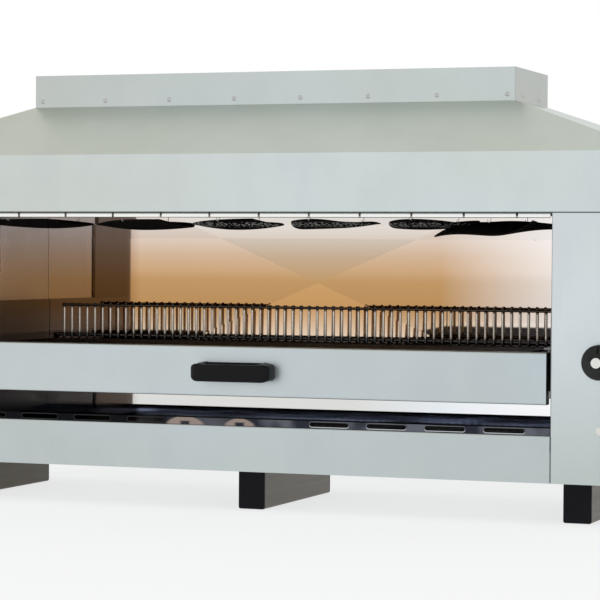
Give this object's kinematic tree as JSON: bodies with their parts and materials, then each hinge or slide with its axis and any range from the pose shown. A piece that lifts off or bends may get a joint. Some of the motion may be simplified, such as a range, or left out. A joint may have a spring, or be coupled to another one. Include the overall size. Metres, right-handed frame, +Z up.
{
  "type": "cheese melter",
  "caption": "Hooded gas cheese melter on runner feet: open cavity under overhead burners, mirror back, wire rack with raised fence on a pull-out drawer, knob at the right.",
  "frame": {"origin": "on the floor, under the middle of the casing, at the centre of the middle runner's lower face", "axes": "+X to the right along the width as seen from the front, +Y from the front to the back, +Z up"},
  "size_m": [1.2, 0.467, 0.639],
  "materials": {
    "casing": "brushed stainless steel, horizontal grain",
    "rivets": "plain",
    "liner": "bright annealed stainless, mirror-like, warm reflections",
    "insulation": "mineral wool board",
    "floor": "dull stainless",
    "deflector": "bright stainless",
    "burner_steel": "plain pressed steel",
    "ceramic": null,
    "mesh": "heat-dark expanded metal",
    "gas_steel": "zinc-plated steel",
    "gas_brass": "plain brass",
    "gas_pipe": null,
    "spindle": "plated steel",
    "knob": "black moulded plastic",
    "knob_cap": "polished disc",
    "drawer": "brushed stainless steel, horizontal grain",
    "drawer_steel": "folded stainless",
    "handle": "black moulded plastic",
    "rack": "bright wire",
    "guides": "plain stainless in shadow",
    "runner": "stainless box tube",
    "runner_cap": "black plastic",
    "bolts": "zinc-plated steel"
  },
  "bodies": {
    "casing": {"base_pan": "casing", "left_casing": "casing", "right_casing": "casing", "back_casing": "casing", "lower_front_panel": "casing", "hood": "casing", "duct_collar": "casing", "collar_rivets": "rivets", "left_liner": "liner", "right_liner": "liner", "back_liner": "liner", "rear_insulation": "insulation", "floor_plate": "floor", "front_deflector": "deflector", "front_burner_rail": "burner_steel", "rear_burner_rail": "burner_steel", "burner_1": "burner_steel", "burner_2": "burner_steel", "burner_3": "burner_steel", "burner_4": "burner_steel", "burner_5": "burner_steel", "burner_6": "burner_steel", "tile_1": "ceramic", "tile_2": "ceramic", "tile_3": "ceramic", "tile_4": "ceramic", "tile_5": "ceramic", "tile_6": "ceramic", "screen_1": "mesh", "screen_2": "mesh", "screen_3": "mesh", "screen_4": "mesh", "screen_5": "mesh", "screen_6": "mesh", "gas_manifold": "gas_steel", "injectors": "gas_brass", "gas_valve": "gas_brass", "gas_inlet": "gas_brass", "riser_pipe": "gas_pipe", "supply_pipe": "gas_pipe", "valve_bracket": "spindle", "panel_screw": "spindle", "left_guide": "guides", "right_guide": "guides", "left_runner": "runner", "middle_runner": "runner", "right_runner": "runner", "left_runner_caps": "runner_cap", "middle_runner_caps": "runner_cap", "right_runner_caps": "runner_cap", "runner_bolts": "bolts"},
    "drawer": {"drawer_front": "drawer", "drawer_frame": "drawer_steel", "drawer_handle": "handle", "handle_screws": "spindle"},
    "rack": {"rack_grid": "rack"},
    "tap": {"tap_plug": "gas_brass"},
    "control": {"valve_spindle": "spindle", "knob": "knob", "knob_cap": "knob_cap"}
  },
  "joints": [
    {"name": "drawer_slide", "type": "slide", "parent": "casing", "child": "drawer", "axis": [0, -1, 0], "range_m": [0, 0.25]},
    {"name": "rack_lift", "type": "slide", "parent": "drawer", "child": "rack", "axis": [0, 0, 1], "range_m": [0, 0.06]},
    {"name": "knob_turn", "type": "hinge", "parent": "casing", "child": "tap", "pos_m": [0.532, -0.208, 0.227], "axis": [0, -1, 0], "range_deg": [0, 180]},
    {"name": "knob_push", "type": "slide", "parent": "tap", "child": "control", "axis": [0, 1, 0], "range_m": [0, 0.003], "stiffness_N_per_m": 1500, "springref_m": -0.002}
  ]
}
